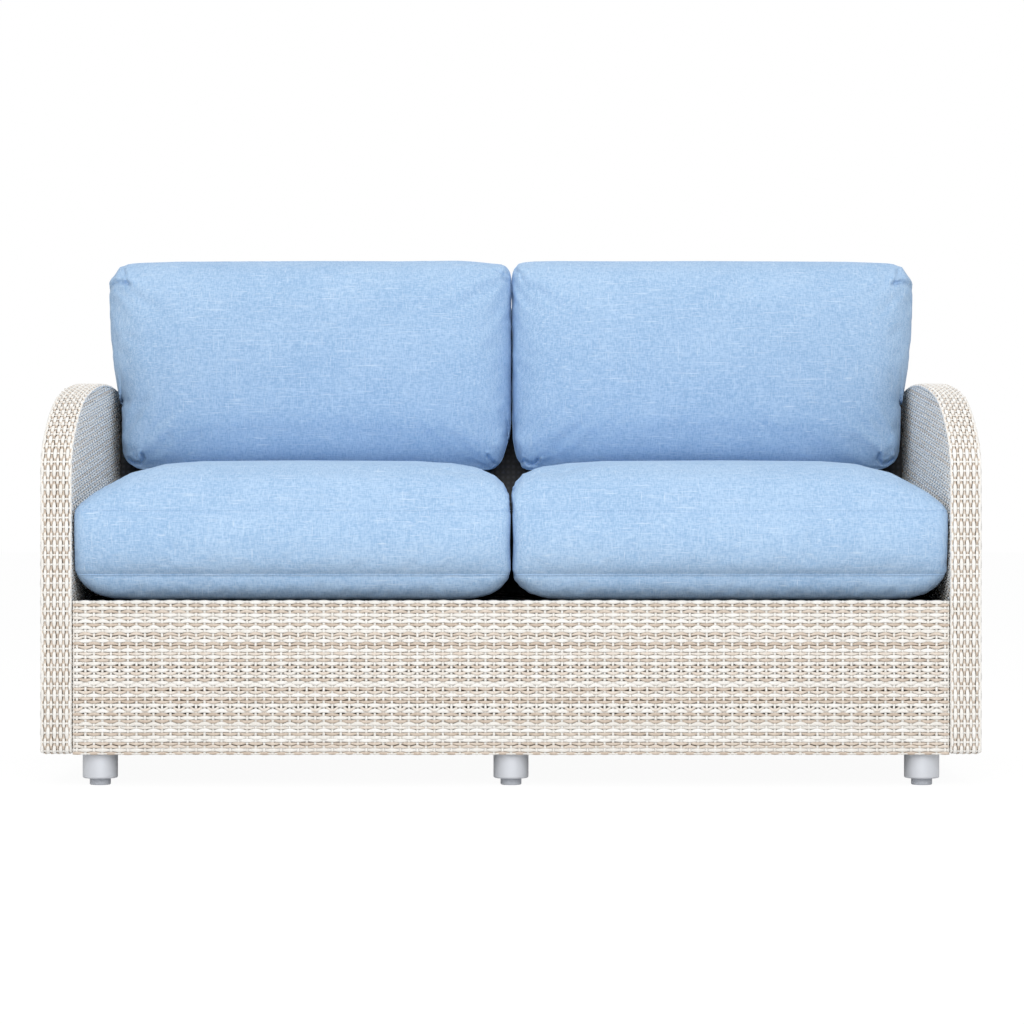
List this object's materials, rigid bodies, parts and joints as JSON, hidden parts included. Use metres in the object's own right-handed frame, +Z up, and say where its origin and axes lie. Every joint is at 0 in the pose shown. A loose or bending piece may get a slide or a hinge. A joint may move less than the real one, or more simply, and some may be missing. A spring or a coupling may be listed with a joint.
{
  "type": "loveseat",
  "caption": "Woven resin loveseat with arched slab arms, loose box seat cushions, loose back cushions and round metal feet.",
  "frame": {"origin": "middle of the footprint on the floor", "axes": "+X to the right seen from the front, -Y to the front, +Z up"},
  "size_m": [1.52, 0.8039, 0.8889],
  "materials": {
    "woven_resin": "flat resin strands woven in off-white and light tan",
    "satin_aluminium": "satin anodised",
    "grey_nylon": "moulded, slightly glossy",
    "zinc_steel": "zinc plated",
    "black_webbing": "elastic webbing",
    "black_sling": "open woven mesh",
    "blue_canvas": "linen-look outdoor canvas, slubbed",
    "foam": "open-cell foam",
    "fibre": "polyester fibre fill",
    "coated_frame": "powder-coated aluminium tube"
  },
  "bodies": {
    "frame": {"arm_band_left": "woven_resin", "arm_band_right": "woven_resin", "arm_bolts": "zinc_steel", "arm_frame_left": "coated_frame", "arm_frame_right": "coated_frame", "arm_inner_panel_left": "woven_resin", "arm_inner_panel_right": "woven_resin", "arm_outer_panel_left": "woven_resin", "arm_outer_panel_right": "woven_resin", "back_end_panel_left": "woven_resin", "back_end_panel_right": "woven_resin", "back_ties": "coated_frame", "back_top_band": "woven_resin", "back_top_frame": "coated_frame", "centre_beam": "coated_frame", "deck_straps_cross": "black_webbing", "deck_straps_long": "black_webbing", "foot_front_centre": "satin_aluminium", "foot_front_left": "satin_aluminium", "foot_front_right": "satin_aluminium", "foot_plates": "coated_frame", "foot_rear_centre": "satin_aluminium", "foot_rear_left": "satin_aluminium", "foot_rear_right": "satin_aluminium", "foot_screws": "zinc_steel", "front_apron": "woven_resin", "front_lower_rail": "coated_frame", "front_rail": "coated_frame", "front_uprights": "coated_frame", "inside_back_sling": "black_sling", "outer_back_panel": "woven_resin", "rear_lower_rail": "coated_frame", "rear_post_centre": "coated_frame", "rear_post_left": "coated_frame", "rear_post_right": "coated_frame", "rear_rail": "coated_frame", "recline_post_centre": "coated_frame", "recline_post_left": "coated_frame", "recline_post_right": "coated_frame", "side_rail_left": "coated_frame", "side_rail_right": "coated_frame"},
    "back_left": {"back_core_left": "fibre", "back_cushion_left": "blue_canvas"},
    "back_right": {"back_core_right": "fibre", "back_cushion_right": "blue_canvas"},
    "glide_front_centre": {"glide_front_centre": "grey_nylon"},
    "glide_front_left": {"glide_front_left": "grey_nylon"},
    "glide_front_right": {"glide_front_right": "grey_nylon"},
    "glide_rear_centre": {"glide_rear_centre": "grey_nylon"},
    "glide_rear_left": {"glide_rear_left": "grey_nylon"},
    "glide_rear_right": {"glide_rear_right": "grey_nylon"},
    "seat_left": {"seat_core_left": "foam", "seat_cushion_left": "blue_canvas"},
    "seat_right": {"seat_core_right": "foam", "seat_cushion_right": "blue_canvas"}
  },
  "joints": [
    {"name": "seat_left_lift", "type": "slide", "parent": "frame", "child": "seat_left", "axis": [0, 0, 1], "range_m": [0, 0.2]},
    {"name": "back_left_lift", "type": "slide", "parent": "seat_left", "child": "back_left", "axis": [0, 0, 1], "range_m": [0, 0.25]},
    {"name": "seat_right_lift", "type": "slide", "parent": "frame", "child": "seat_right", "axis": [0, 0, 1], "range_m": [0, 0.2]},
    {"name": "back_right_lift", "type": "slide", "parent": "seat_right", "child": "back_right", "axis": [0, 0, 1], "range_m": [0, 0.25]},
    {"name": "glide_front_left_travel", "type": "slide", "parent": "frame", "child": "glide_front_left", "axis": [0, 0, 1], "range_m": [-0.012, 0]},
    {"name": "glide_front_centre_travel", "type": "slide", "parent": "frame", "child": "glide_front_centre", "axis": [0, 0, 1], "range_m": [-0.012, 0]},
    {"name": "glide_front_right_travel", "type": "slide", "parent": "frame", "child": "glide_front_right", "axis": [0, 0, 1], "range_m": [-0.012, 0]},
    {"name": "glide_rear_left_travel", "type": "slide", "parent": "frame", "child": "glide_rear_left", "axis": [0, 0, 1], "range_m": [-0.012, 0]},
    {"name": "glide_rear_centre_travel", "type": "slide", "parent": "frame", "child": "glide_rear_centre", "axis": [0, 0, 1], "range_m": [-0.012, 0]},
    {"name": "glide_rear_right_travel", "type": "slide", "parent": "frame", "child": "glide_rear_right", "axis": [0, 0, 1], "range_m": [-0.012, 0]}
  ]
}
